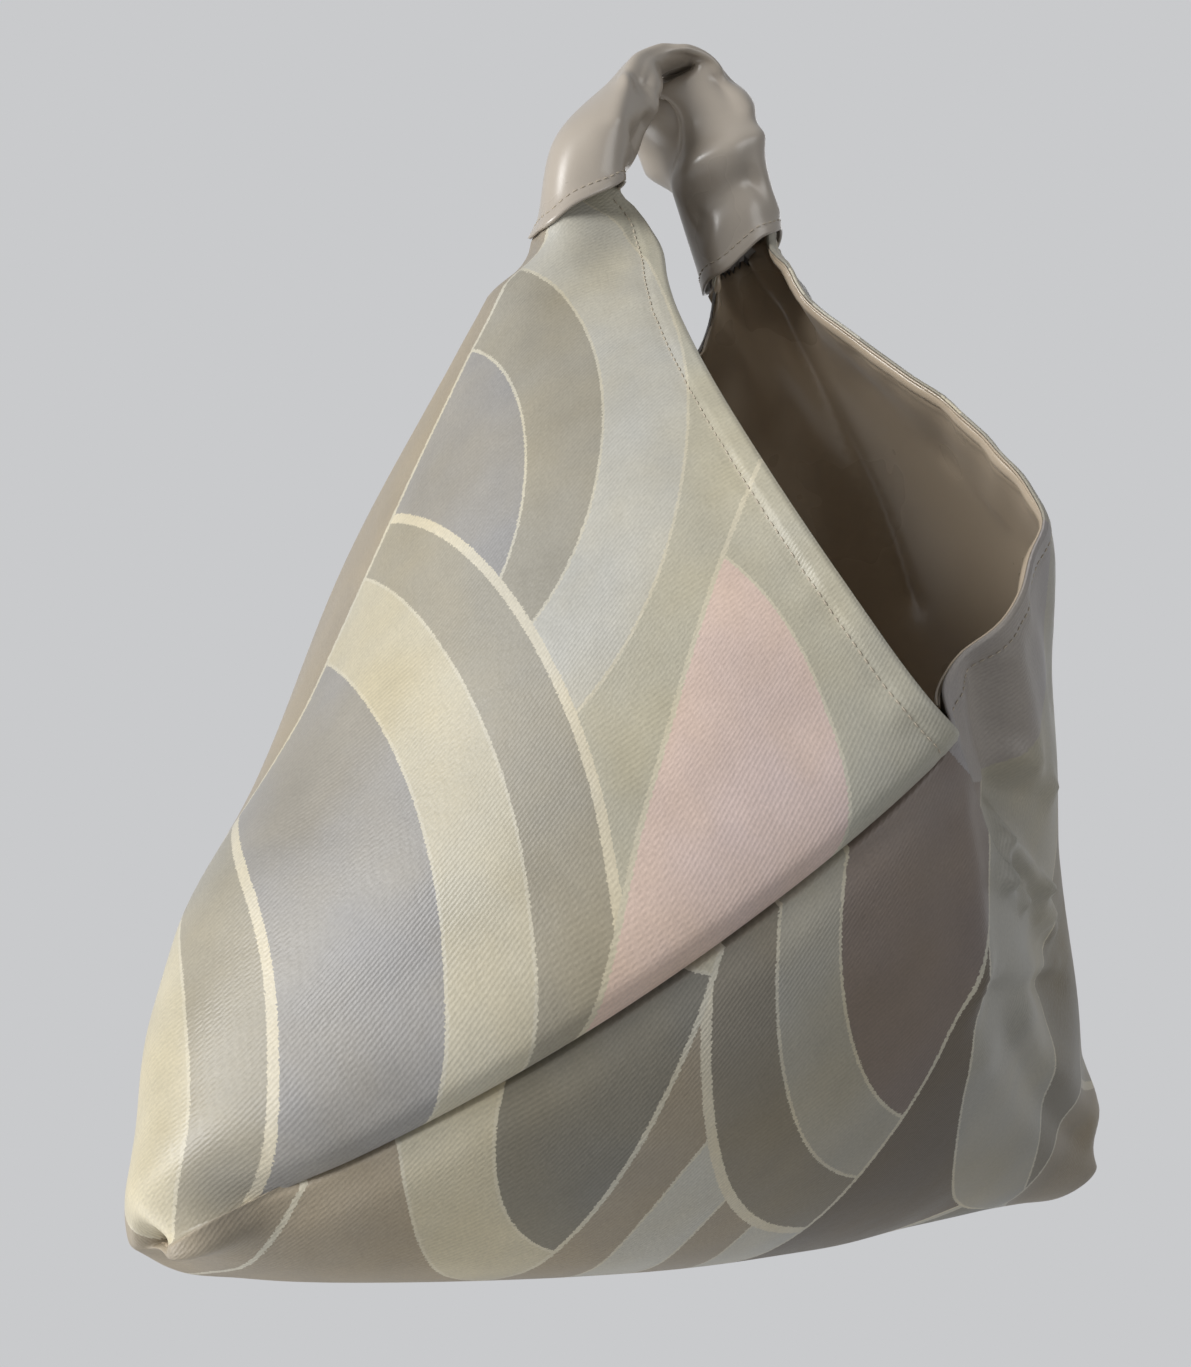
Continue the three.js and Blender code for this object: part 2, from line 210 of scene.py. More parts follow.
# How full the bag is: evenly a little, more so low down and on the left, and the front right flap hangs
# slack. Meanwhile the two bottom corners are pushed to where they end up.
fullness, low_fullness, low_from, sag = 0.00028, 0.0006, 0.150, 0.00005
deep_most, lean_rate, lean_most = 1.2, 4, 2.5
slack, slack_across, slack_along = 0.8, 1.15, 2.6
left_corner, right_corner = np.array([-0.192, -0.006, -0.024]), np.array([0.206, -0.004, -0.002])
corners = ((number[cells, 0], left, left_corner), (number[2 * cells, -1], right, right_corner))
rounds, passes = 220, 4
loose = np.ones(len(cloth))
for i in range(2 * cells, 3 * cells + 1):
    for j in range(cells + 1):
        share = slack_across - j / cells - max(0, i / cells - slack_along)
        loose[number[i, j]] = 1 + slack * np.clip(share, 0, 1)
for step in range(rounds):
    deep = np.clip((low_from - cloth[:, 2]) / low_from, 0, deep_most)
    lean = np.clip(1 - lean_rate * cloth[:, 0], 0, lean_most)
    push = (fullness * loose + low_fullness * deep * lean) * free
    cloth += push[:, None] * outward(cloth)
    cloth[:, 2] -= sag * free
    for point, corner, pushed in corners:
        free[point] = 0
        cloth[point] = corner + min(1, 2 * step / rounds) * (pushed - corner)
    for again in range(passes):
        settle(cloth, bend)
        settle(cloth, stretch)

# The same strip again on a fine grid, whose lines lie closer together at the sewn edges and the hems
fine, crowding = 108, 1.6
spread = np.linspace(-1, 1, fine + 1)
lines = panel * (0.5 + 0.5 * np.sign(spread) * (1 - (1 - np.abs(spread)) ** crowding))
u_lines = np.concatenate([lines, panel + lines[1:], 2 * panel + lines[1:]])


def between(places, n):
    """Weights that carry a smooth curve through n + 1 even points, at places given in cells."""
    first = np.clip(np.floor(places).astype(int), 0, n - 1)
    t = places - first
    weight = np.zeros((len(places), n + 3))
    rows = np.arange(len(places))
    weight[rows, first] = -0.5 * t + t**2 - 0.5 * t**3
    weight[rows, first + 1] = 1 - 2.5 * t**2 + 1.5 * t**3
    weight[rows, first + 2] = 0.5 * t + 2 * t**2 - 1.5 * t**3
    weight[rows, first + 3] = -0.5 * t**2 + 0.5 * t**3
    weight[:, 1] += 2 * weight[:, 0]
    weight[:, 2] -= weight[:, 0]
    weight[:, -2] += 2 * weight[:, -1]
    weight[:, -3] -= weight[:, -1]
    return weight[:, 1:-1]


# The first, middle and last square of the strip, with u along it and v across it
u, v = np.meshgrid(u_lines, lines, indexing="ij")
on_a, on_b, on_c = u <= panel, (u > panel) & (u < 2 * panel), u >= 2 * panel


def bump(x, middle, width):
    """1 at the middle, falling away smoothly within about this width on both sides."""
    return np.exp(-(((x - middle) / width) ** 2))


def ramp(x, low, high):
    """0 up to the low end and 1 from the high end on, smooth between them."""
    t = np.clip((x - low) / (high - low), 0, 1)
    return t * t * (3 - 2 * t)


def above_rim(points, rim):
    """How far points lie above the slanting plane of a rim of the sleeve."""
    middle, width, depth = rim
    fall = np.linalg.solve(np.array([width[:2], depth[:2]]), [width[2], depth[2]])
    return points[..., 2] - middle[2] - (points[..., :2] - middle[:2]) @ fall


def gathered(points, rim, above, fill):
    """Points of one leg, drawn in to fill this share of the sleeve above its rim, and let go lower down."""
    squareness, drawn_from, free_from = 3, -1 * mm, 16 * mm
    over = above_rim(points, rim)
    share = np.clip(over / (above[0, 2] - rim[0, 2]), 0, 1)[..., None, None]
    section = rim + share * (above - rim)
    away = points[..., :2] - section[..., 0, :2]
    axes = np.stack([section[..., 1, :2], section[..., 2, :2]], -1)
    place = np.linalg.solve(axes, away[..., None])[..., 0]
    size = (np.abs(place / fill) ** squareness).sum(-1) ** (1 / squareness)
    scale = np.minimum(1, 1 / np.maximum(size, 1e-6))
    scale += (1 - scale) * ramp(-over, drawn_from, free_from)
    drawn = points.copy()
    drawn[..., :2] = section[..., 0, :2] + scale[..., None] * away
    return drawn


def cloth_out(points):
    """The direction out of the bag at each point of the fine grid."""
    out = np.cross(np.gradient(points, lines, axis=1), np.gradient(points, u_lines, axis=0))
    return out / np.maximum(np.linalg.norm(out, axis=2), 1e-9)[:, :, None]


left_fill, right_fill = (0.86, 0.94), (0.7, 0.86)
along_weight, across_weight = between(u_lines / cell, 3 * cells), between(lines / cell, cells)
base = np.einsum("ai,bj,ijk->abk", along_weight, across_weight, cloth[number])
base += hang
base[: fine + 1] = gathered(base[: fine + 1], sleeve_path[0], sleeve_path[1], left_fill)
base[2 * fine :] = gathered(base[2 * fine :], sleeve_path[-1], sleeve_path[-2], right_fill)

# Sewn edges: the outer squares' edges are turned under and lap over the middle square, which dips beneath
# them and has a groove at the stitches. Near the left bottom corner the seam is rolled, and the middle
# square's side of it stands up as a lip.
lap_sunk, lap_rise, lap_reach, lap_turn, lap_round = 3 * mm, 6.6 * mm, 5.2 * mm, 2.6 * mm, 1.3
dip_depth, groove_depth, lip_height, roll_depth = 1.6 * mm, 5 * mm, 6.5 * mm, 3.5 * mm
from_seam = np.where(on_a, v, np.where(on_c, panel - v, np.minimum(v, panel - v)))
past_lap = ramp(from_seam, 12 * mm, 40 * mm)
lap_up = -lap_sunk + lap_rise * ramp(from_seam, 0, 11 * mm) * (1 - past_lap) + lap_sunk * past_lap
lap_past = lap_reach * (1 - np.exp(-((from_seam / lap_turn) ** lap_round)))
lap_past *= 1 - ramp(from_seam, 8 * mm, 42 * mm)
to_left_tip = np.hypot(u - panel, v)
rolled = 1 - ramp(to_left_tip, 40 * mm, 85 * mm)
lip_ends = ramp(to_left_tip, 8 * mm, 20 * mm) * (1 - ramp(to_left_tip, 28 * mm, 66 * mm))
dip = -dip_depth * (1 - ramp(from_seam, 0.5 * mm, 14 * mm))
dip -= groove_depth * (1 - ramp(from_seam, 0.9 * mm, 2.6 * mm)) * (1 - rolled) ** 2
dip += lip_height * bump(from_seam, 6 * mm, 5 * mm) * lip_ends
lap_up -= (lap_up + roll_depth * bump(from_seam, 0, 12 * mm)) * rolled
lap_past *= 1 - rolled
from_seam_ends = np.minimum(np.abs(u - panel), np.abs(u - 2 * panel))
fade = ramp(from_seam_ends, 0, 12 * mm)
work = np.where(on_b, dip, lap_up) * fade
across_cloth = np.gradient(base, lines, axis=1)
towards_seam = np.where(on_a[:, :, None], -across_cloth, across_cloth)
towards_seam /= np.linalg.norm(across_cloth, axis=2)[:, :, None]
lapped = np.where(on_b, 0, lap_past * fade)[:, :, None] * towards_seam

# Hems: a doubled edge held by a row of stitches, with a dent at the row and puckers on both sides of it
hem_inset, hem_double, hem_turn, pucker = 9 * mm, 0.5 * mm, 0.9 * mm, 0.42 * mm
hem_a = np.where(on_a, np.minimum(u, panel - v), 1.0)
hem_c = np.where(on_c, np.minimum(3 * panel - u, v), 1.0)
from_hem = np.minimum(hem_a, hem_c)
along_hem = np.where(on_a, np.where(u < panel - v, v, u), np.where(3 * panel - u < v, v, u))
work += hem_double * (1 - ramp(from_hem, 7 * mm, 10 * mm) - bump(from_hem, hem_inset, 1.2 * mm))
uneven_pull = 1.3 * np.sin(along_hem / (17 * mm))
wave = np.sin(along_hem / (3.1 * mm)) + 0.7 * np.sin(along_hem / (1.9 * mm) + uneven_pull)
work += pucker * wave * bump(from_hem, hem_inset + 2 * mm, 6 * mm)
work -= hem_turn * (1 - ramp(from_hem, 0, 1.5 * mm))

# The lower left is rounded out by the filling, most of all just behind the fold
filled_out = 10 * mm
past_fold, up_fold = (u + v - panel) / math.sqrt(2), (panel - u + v) / math.sqrt(2)
rounded = bump(past_fold, 12 * mm, 30 * mm) * ramp(up_fold, 30 * mm, 90 * mm)
rounded *= 1 - ramp(up_fold, 120 * mm, 205 * mm)
work += np.where(on_a, filled_out * rounded, 0)

# Folds of the loose cloth below the front valley and inside the right peak. Each runs on the strip from one
# place to another, with its half width and its height, all in millimetres.
folds = [
    ((604, 30), (617, 150), 24, -9), ((660, 85), (650, 120), 45, -6), ((590, 22), (568, 74), 7, 3.2),
    ((568, 74), (566, 104), 9, 2.2), ((612, 50), (597, 62), 4, 3.2), ((597, 62), (607, 85), 4, 3.6),
    ((607, 85), (622, 120), 5, 4), ((609, 57), (622, 100), 4, 4.6), ((622, 100), (630, 138), 5, 3.6),
    ((604, 72), (614, 102), 4, -3), ((632, 46), (646, 78), 5, 3.4),
    ((608, 40), (640, 70), 8, -3.5), ((572, 92), (580, 112), 10, -5), ((570, 78), (626, 165), 5, -2.6),
    ((577, 84), (628, 158), 5, 2.2), ((577, 124), (601, 262), 7, -2.4), ((590, 120), (612, 250), 8, 2),
    ((640, 12), (622, 44), 9, -4), ((652, 16), (640, 52), 8, 3.2), ((628, 10), (612, 36), 8, 2.6),
    ((868, 32), (778, 122), 5, 3.4), ((853, 62), (790, 150), 8, -2.2), ((700, 8), (716, 46), 9, 1.8),
    ((735, 6), (742, 40), 7, -1.6), ((768, 6), (770, 44), 8, 1.6), ((685, 10), (676, 60), 10, -2.4),
]


def crease(along, across, start, end, width):
    """1 along a line on the cloth, falling away to both sides and round its ends. All in millimetres."""
    way = np.subtract(end, start)
    share = np.clip(((along - start[0]) * way[0] + (across - start[1]) * way[1]) / (way @ way), 0, 1)
    off_line = np.hypot(along - start[0] - share * way[0], across - start[1] - share * way[1])
    return bump(off_line, 0, width)


for start, end, width, height in folds:
    work += np.where(on_a, 0, height * mm * crease(u / mm, v / mm, start, end, width))

# Soft unevenness of the cloth over its filling
uneven = 0.5 * mm
work += uneven * np.sin(u / (19 * mm) + 1.7 * np.sin(v / (31 * mm))) * np.sin(v / (23 * mm) + 0.6)
shape = base + work[:, :, None] * cloth_out(base) + lapped

# The hem of the right flap goes in behind the left flap at the valley and sags beyond it. Along the hem from
# the valley, in millimetres: how far it shifts to the right as seen from the front left, backwards from
# there, and up.
sag_at = np.array([0, 10, 19, 31, 41, 55, 72, 85, 100, 120, 141, 159, 180, 200, 212, 222, 230, 240, 300])
sag_right = np.array([0, -8, -17, -20, -16, -10, -5, -2, 4, 3, 0.5, -1.5, -3.2, -3.8, -4.2, -6, -3.5, 4, 3])
sag_back = np.array([0, 3, 7, 8, 6, 3, 1, 0, 0, 0, 0, 0, 0, 0, 0, 0, 0, 0, 0])
sag_up = np.array([0, 1.5, 3, 2.5, 0, -4, -6, -6, -6.5, -8, -10, -12, -13.7, -14, -12.8, -12, -8, 0, 0])
right_of_view, away_of_view = np.array([0.793, -0.609, 0]), np.array([0.609, 0.793, 0])
upwards = np.array([0, 0, 1])
eased_over = (-7 * mm, -3 * mm, 0, 3 * mm, 7 * mm)
near_hem = np.where(on_c, bump(v, 0, 55 * mm), 0)
for shift, way in ((sag_right, right_of_view), (sag_back, away_of_view), (sag_up, upwards)):
    shifts = [np.interp(u - 2 * panel + near, sag_at * mm, shift * mm) for near in eased_over]
    shape += (near_hem * np.mean(shifts, 0))[:, :, None] * way

# Below the right rim the back hem runs straight down before it turns away
hem_down_by = 6 * mm
hem_down = np.where(on_c, bump(3 * panel - u, 0, 35 * mm) * bump(v, 100 * mm, 26 * mm), 0)
hem_down *= ramp(-above_rim(shape, sleeve_path[-1]), 0, 9 * mm)
shape += (hem_down_by * hem_down)[:, :, None] * right_of_view

# The hem of the left flap stands out straight below the sleeve
hem_out_by = 3.6 * mm
hem_out = np.where(on_a, bump(u, 0, 35 * mm) * ramp(v, 185 * mm, 235 * mm), 0)
hem_out *= ramp(-above_rim(shape, sleeve_path[0]), 0, 9 * mm)
shape += (hem_out_by * hem_out)[:, :, None] * right_of_view


def pressed_back(past, give):
    """How far cloth that stands this far past a plane is pressed back towards it, softly at first."""
    return np.where(past > 0, past - give * (1 - np.exp(-np.maximum(past, 0) / give)), 0)


# The bottom rests flatter than the drape, the left corner is blunt, and the right corner is drawn up
blunt_at, blunt_give, bottom_at, bottom_give = -0.160, 0.021, -0.428, 0.014
right_foot, foot_reach = np.array([0.2, 0, -0.41]), 90 * mm
foot_drawn = np.array([0.003, -0.0024, 0.009])
shape += pressed_back(blunt_at - shape @ right_of_view, blunt_give)[:, :, None] * right_of_view
shape[:, :, 2] += pressed_back(bottom_at - shape[:, :, 2], bottom_give)
near_foot = bump(np.linalg.norm(shape - right_foot, axis=2), 0, foot_reach)
shape += near_foot[:, :, None] * foot_drawn

# The tips of both bottom corners are tucked in, each by a shift in millimetres
tip_reach = 16 * mm
for tip_u, tip_v, way in ((panel, 0, (6, 0, 2.6)), (2 * panel, panel, (-3.7, 0, 1.6))):
    near_tip = bump(np.hypot(u - tip_u, v - tip_v), 0, tip_reach)
    shape += mm * near_tip[:, :, None] * np.array(way)

# The cloth round the tips evens out: each point there is drawn to the mean of its neighbours, again and again
even_share, even_reach, even_rounds, even_least = 0.7, 22 * mm, 40, 0.001
fine_number, fine_own = sewn_numbers(fine)
strip_points = np.zeros((fine_own.sum(), 3))
strip_points[fine_number[fine_own]] = shape[fine_own]
from_tips = np.minimum(to_left_tip, np.hypot(u - 2 * panel, v - panel))
evened = np.zeros(len(strip_points))
evened[fine_number[fine_own]] = even_share * bump(from_tips, 0, even_reach)[fine_own]
beside = list(zip(fine_number[:-1].ravel(), fine_number[1:].ravel()))
beside = np.array(beside + list(zip(fine_number[:, :-1].ravel(), fine_number[:, 1:].ravel())))
beside = np.concatenate([beside, beside[:, ::-1]])
beside = beside[evened[beside[:, 0]] > even_least]
neighbours = np.maximum(np.bincount(beside[:, 0], minlength=len(strip_points)), 1)
evened[evened <= even_least] = 0
for again in range(even_rounds):
    for axis in range(3):
        around = np.bincount(beside[:, 0], strip_points[beside[:, 1], axis], len(strip_points))
        strip_points[:, axis] += evened * (around / neighbours - strip_points[:, axis])
shape = strip_points[fine_number]


def cell_corners(grid):
    """What a grid holds at the four corners of each cell, in the order that turns a face outwards."""
    return np.stack([grid[:-1, :-1], grid[:-1, 1:], grid[1:, 1:], grid[1:, :-1]], 2)


# Inside the sleeve only the first few millimetres of each peak are made, since the rest is hidden
in_sleeve = 4 * mm
up_left, up_right = above_rim(shape, sleeve_path[0]), above_rim(shape, sleeve_path[-1])
up_sleeve = np.where(on_a, up_left, np.where(on_c, up_right, -1))
strip_kept = (up_sleeve[:-1, :-1] < in_sleeve).ravel()
strip_faces = cell_corners(fine_number).reshape(-1, 4)[strip_kept]
strip_uv = cell_corners(np.stack([u, v], -1)).reshape(-1, 4, 2)[strip_kept]


def piece(name, points, faces=(), uv=None, edges=()):
    """A new smooth object made of these points and faces, with its own map of the cloth if it has one."""
    mesh = bpy.data.meshes.new(name)
    mesh.from_pydata(points.tolist(), edges, np.array(faces).tolist())
    if uv is not None:
        mesh.uv_layers.new(name="cloth").data.foreach_set("uv", uv.ravel().astype(np.float32))
    mesh.polygons.foreach_set("use_smooth", [True] * len(mesh.polygons))
    made = bpy.data.objects.new(name, mesh)
    bpy.context.scene.collection.objects.link(made)
    return made


def finish_mesh(made):
    """Turns the object and its modifiers into one plain mesh."""
    graph = bpy.context.evaluated_depsgraph_get()
    mesh = bpy.data.meshes.new_from_object(made.evaluated_get(graph))
    made.modifiers.clear()
    made.data = mesh
    mesh.name = made.name


def thicken(made, thickness):
    """Gives a cloth its thickness, inwards from its face."""
    solid = made.modifiers.new("thickness", "SOLIDIFY")
    solid.thickness = thickness
    solid.offset = -1
    solid.use_even_offset = False
    finish_mesh(made)


brocade_thick = 0.9 * mm
outer = piece("outer_cloth", strip_points, strip_faces, strip_uv)
thicken(outer, brocade_thick)


def put(tree, kind, inputs=None, **settings):
    """Adds a node with its settings. Inputs are values, or sockets of other nodes to link from."""
    made = tree.nodes.new(kind)
    for name, value in settings.items():
        setattr(made, name, value)
    for key, value in (inputs or {}).items():
        if isinstance(value, bpy.types.NodeSocket):
            tree.links.new(value, made.inputs[key])
        else:
            made.inputs[key].default_value = value
    return made


def colour(code):
    """An sRGB hex colour as linear numbers."""
    parts = [int(code[k : k + 2], 16) / 255 for k in (0, 2, 4)]
    linear = [p / 12.92 if p <= 0.04045 else ((p + 0.055) / 1.055) ** 2.4 for p in parts]
    return (*linear, 1.0)


def new_material(name):
    material = bpy.data.materials.new(name)
    material.use_nodes = True
    material.node_tree.nodes.clear()
    return material, material.node_tree


# Brocade, woven in silk and metallic thread: large nested arches between slanting lines, each with a pale
# outline. The weave gives a soft sheen with fine slanting ribs, and the arches' edges are slightly ragged,
# thread by thread.
sage, pale, taupe, cream = "B7B3A3", "BFBCB1", "A19B8C", "C2BBA6"
lavender, pink, mauve, smoke = "9A9793", "D6C1B8", "82766E", "837F74"
# Two of these are taupe and pale painted darker, as painted shade, for arches where the cloth lies in shade
brown, shaded_taupe, dark_brown, shaded_pale = "A09583", "8A8375", "706658", "AAA69A"
outline, thick_line = "CBC5B3", "D2CAB5"
slant_fall, slant_line, edge_blur = 0.75, 1.0 * mm, 0.1 * mm
hair, ridge_line = 0.5, 1.6


def nested(cu, cv, drop):
    """Three arches inside each other, of the size seen on the middle square. Sizes in millimetres."""
    return [
        (cu, cv, 96, taupe, ridge_line), (cu + 16, cv - 3, 87, pale, hair), (cu + 29, cv - 5, 77, drop, hair),
    ]


# Each band lies below a slanting line that meets v = 0 at the first number, then its ground, then its arches:
# middle u, middle v, radius, colour inside and half the width of the outline
bands = [
    (1640, sage, nested(1010, 300, mauve)),
    (1490, pale, nested(900, 250, lavender) + nested(1010, 180, pink)),
    (1340, taupe, nested(800, 250, mauve) + nested(905, 170, sage) + nested(1005, 90, lavender)),
    (1190, cream, nested(700, 255, lavender) + nested(800, 180, pink) + nested(900, 95, mauve)),
    (1040, sage, nested(610, 265, brown) + nested(702, 190, smoke) + nested(800, 105, lavender)),
    # In this band and the next, taupe and pale are painted darker in some arches, as painted shade
    (890, dark_brown, nested(500, 290, smoke) + [
        (744, 170, 200, shaded_pale, hair), (800, 290, 235, shaded_taupe, hair)] + nested(795, 90, lavender)),
    (657, brown, [
        (530, 160, 124, pale, hair), (530, 160, 101, brown, hair), (530, 160, 80, pale, hair),
        (571, 67, 96, shaded_taupe, ridge_line), (587, 64, 87, shaded_pale, hair), (600, 62, 77, mauve, hair)]),
    (507, brown, [(395, 190, 110, cream, hair), (492, 39, 100, cream, hair), (463, 36, 46, smoke, hair)]),
    (372, sage, [
        (119, 188, 116, pale, hair), (117, 185, 83, taupe, hair), (134, 183, 70, lavender, hair),
        (234, 103, 142, taupe, ridge_line), (262, 106, 144, cream, hair), (279, 103, 133, lavender, hair),
        (343, 105, 142, taupe, ridge_line), (371, 107, 144, cream, hair), (394, 104, 133, brown, hair)]),
    (147, sage, [(97, 63, 74, pink, hair)]),
]
# Beside the front valley a plain grey arch with no outline lies over the bands. Its grey is the cloth's
# lavender grey painted lighter, as painted light, where the fold there faces the light.
lit_valley_grey = "A09B9A"
valley_arch = (648, -5, 52, lit_valley_grey, hair)


def new_group(name, sockets):
    """A node group with these inputs and one colour as its output, and the sockets of its inputs."""
    tree = bpy.data.node_groups.new(name, "ShaderNodeTree")
    for socket, kind in sockets.items():
        tree.interface.new_socket(socket, in_out="INPUT", socket_type="NodeSocket" + kind)
    tree.interface.new_socket("Color", in_out="OUTPUT", socket_type="NodeSocketColor")
    return tree, put(tree, "NodeGroupInput").outputs


def lay_over(tree, depth, line, under, over, edge):
    """Ends a group: one colour lies over another where the depth is above 0, with an outline at its edge."""
    filled = put(tree, "ShaderNodeMapRange", {0: depth, 1: -edge_blur, 2: edge_blur})
    size = put(tree, "ShaderNodeMath", {0: depth}, operation="ABSOLUTE")
    drawn = put(tree, "ShaderNodeMath", {0: size.outputs[0], 1: line}, operation="LESS_THAN")
    inside = put(tree, "ShaderNodeMix", {0: filled.outputs[0], 6: under, 7: over}, data_type="RGBA")
    lined = put(tree, "ShaderNodeMix", {0: drawn.outputs[0], 6: inside.outputs[2], 7: edge}, data_type="RGBA")
    put(tree, "NodeGroupOutput", {0: lined.outputs[2]})


def arch_group():
    """Lays the inside and the outline of one arch over the colour that is there."""
    tree, given = new_group("woven_arch", {
        "Under": "Color", "Place": "Vector", "Middle": "Vector", "Radius": "Float", "Line": "Float",
        "Inside": "Color", "Outline": "Color"})
    away = put(tree, "ShaderNodeVectorMath", {0: given["Place"], 1: given["Middle"]}, operation="DISTANCE")
    depth = put(tree, "ShaderNodeMath", {0: given["Radius"], 1: away.outputs["Value"]}, operation="SUBTRACT")
    lay_over(tree, depth.outputs[0], given["Line"], given["Under"], given["Inside"], given["Outline"])
    return tree


def band_group():
    """Lays one band over the rest, below its slanting line."""
    tree, given = new_group("woven_band", {
        "Above": "Color", "Below": "Color", "Place": "Vector", "Meets": "Float", "Outline": "Color"})
    slanting = (slant_fall, 1, 0)
    height = put(tree, "ShaderNodeVectorMath", {0: given["Place"], 1: slanting}, operation="DOT_PRODUCT")
    line = put(tree, "ShaderNodeMath", {0: given["Meets"], 1: slant_fall}, operation="MULTIPLY")
    depth = put(tree, "ShaderNodeMath", {0: line.outputs[0], 1: height.outputs["Value"]},
                operation="SUBTRACT")
    lay_over(tree, depth.outputs[0], slant_line, given["Above"], given["Below"], given["Outline"])
    return tree


# Most of a noise texture lies between these two values
noise_span = {"From Min": 0.3, "From Max": 0.7}
silk_ior = 1.5


def brocade():
    """The threads wander by up to 0.8 mm, which makes the edges of the arches ragged."""
    material, tree = new_material("silk_brocade")
    place = put(tree, "ShaderNodeUVMap", uv_map="cloth").outputs[0]
    ragged = put(tree, "ShaderNodeTexNoise", {"Vector": place, "Scale": 1.4 / mm, "Detail": 1.0})
    jitter = put(tree, "ShaderNodeVectorMath", {0: ragged.outputs["Color"], 1: (0.5, 0.5, 0.5)},
                 operation="SUBTRACT")
    ragged_by = put(tree, "ShaderNodeVectorMath", {0: jitter.outputs[0], "Scale": 1.6 * mm},
                    operation="SCALE")
    spot = put(tree, "ShaderNodeVectorMath", {0: place, 1: ragged_by.outputs[0]})
    flat = put(tree, "ShaderNodeVectorMath", {0: spot.outputs[0], 1: (1, 1, 0)}, operation="MULTIPLY")
    arch, band = arch_group(), band_group()

    def lay_arch(under, cu, cv, radius, fill, line, edge):
        return put(tree, "ShaderNodeGroup", {
            "Under": under, "Place": flat.outputs[0], "Middle": (cu * mm, cv * mm, 0), "Radius": radius * mm,
            "Line": line * mm, "Inside": colour(fill), "Outline": colour(edge)}, node_tree=arch).outputs[0]

    whole = None
    for meets, ground, arches in bands:
        laid = colour(ground)
        for cu, cv, radius, fill, line in arches:
            laid = lay_arch(laid, cu, cv, radius, fill, line, thick_line if line > hair else outline)
        if whole is None:
            whole = laid
        else:
            whole = put(tree, "ShaderNodeGroup", {
                "Above": whole, "Below": laid, "Place": flat.outputs[0], "Meets": meets * mm,
                "Outline": colour(outline)}, node_tree=band).outputs[0]
    whole = lay_arch(whole, *valley_arch, lit_valley_grey)

    # Ribs of the twill are about 0.8 mm apart on the cloth and drawn at 1.1 mm, so that they show. Ribs along
    # the warp come and go beside them. A wave texture of scale 1 has a rib every 0.314 m.
    wave_step, twill_step, warp_step, twill_turn = 0.314, 1.1 * mm, 1.4 * mm, math.radians(-70)
    turned = put(tree, "ShaderNodeMapping", {"Vector": place, "Rotation": (0, 0, twill_turn)})
    rib = put(tree, "ShaderNodeTexWave", {
        "Vector": turned.outputs[0], "Scale": wave_step / twill_step, "Distortion": 1.2, "Detail": 2.0,
        "Detail Scale": 3.0})
    warp = put(tree, "ShaderNodeTexWave", {
        "Vector": place, "Scale": wave_step / warp_step, "Distortion": 1.5, "Detail": 2.0,
        "Detail Scale": 3.0}, bands_direction="Y")

    # Crinkles are about 33 mm across, the patches of gold and of silver thread 77 mm, and the grain 1.1 mm
    mottle = put(tree, "ShaderNodeTexNoise", {
        "Vector": place, "Scale": 0.03 / mm, "Detail": 6.0, "Roughness": 0.65})
    patches = put(tree, "ShaderNodeTexNoise", {"Vector": place, "Scale": 0.013 / mm, "Detail": 4.0})
    grain = put(tree, "ShaderNodeTexNoise", {"Vector": place, "Scale": 0.9 / mm, "Detail": 2.0})
    warp_shows = put(tree, "ShaderNodeMapRange", {
        "Value": patches.outputs[0], "From Min": 0.42, "From Max": 0.66})
    ribs = put(tree, "ShaderNodeMix", {
        0: warp_shows.outputs[0], 2: rib.outputs["Fac"], 3: warp.outputs["Fac"]})
    # The colour is lighter on the crinkles' crests and darker in their hollows, from 0.9 to 1.08: painted
    # shade.
    shade = put(tree, "ShaderNodeMapRange", {
        **noise_span, "Value": mottle.outputs[0], "To Min": 0.9, "To Max": 1.08})
    ribbed = put(tree, "ShaderNodeMapRange", {"Value": ribs.outputs[0], "To Min": 0.94, "To Max": 1.04})
    grained = put(tree, "ShaderNodeMapRange", {
        **noise_span, "Value": grain.outputs[0], "To Min": 0.93, "To Max": 1.06})
    both = put(tree, "ShaderNodeMath", {0: shade.outputs[0], 1: ribbed.outputs[0]}, operation="MULTIPLY")
    tone = put(tree, "ShaderNodeMath", {0: both.outputs[0], 1: grained.outputs[0]}, operation="MULTIPLY")
    toned = put(tree, "ShaderNodeVectorMath", {0: whole, "Scale": tone.outputs[0]}, operation="SCALE")
    gold = put(tree, "ShaderNodeMapRange", {"Value": patches.outputs[0], "From Min": 0.38, "From Max": 0.62})
    silver_tint, gold_tint = (0.97, 0.985, 1.02), (1.04, 1.0, 0.90)
    thread_tint = put(tree, "ShaderNodeMix", {0: gold.outputs[0], 4: silver_tint, 5: gold_tint},
                      data_type="VECTOR")
    tinted = put(tree, "ShaderNodeVectorMath", {0: toned.outputs[0], 1: thread_tint.outputs[1]},
                 operation="MULTIPLY")
    rough = put(tree, "ShaderNodeMapRange", {
        **noise_span, "Value": mottle.outputs[0], "To Min": 0.36, "To Max": 0.54})
    raised = put(tree, "ShaderNodeMath", {0: ribs.outputs[0], 1: grain.outputs[0]})
    weave = put(tree, "ShaderNodeBump", {
        "Height": raised.outputs[0], "Strength": 0.22, "Distance": 0.3 * mm})
    crinkled = put(tree, "ShaderNodeBump", {
        "Height": mottle.outputs[0], "Strength": 0.25, "Distance": 2.0 * mm, "Normal": weave.outputs[0]})
    surface = put(tree, "ShaderNodeBsdfPrincipled", {
        "Base Color": tinted.outputs[0], "Roughness": rough.outputs[0], "Normal": crinkled.outputs[0],
        "Sheen Weight": 0.12, "Sheen Roughness": 0.4, "IOR": silk_ior})
    put(tree, "ShaderNodeOutputMaterial", {0: surface.outputs[0]})
    return material


outer.data.materials.append(brocade())
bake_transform(outer)
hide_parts("outer_strip")

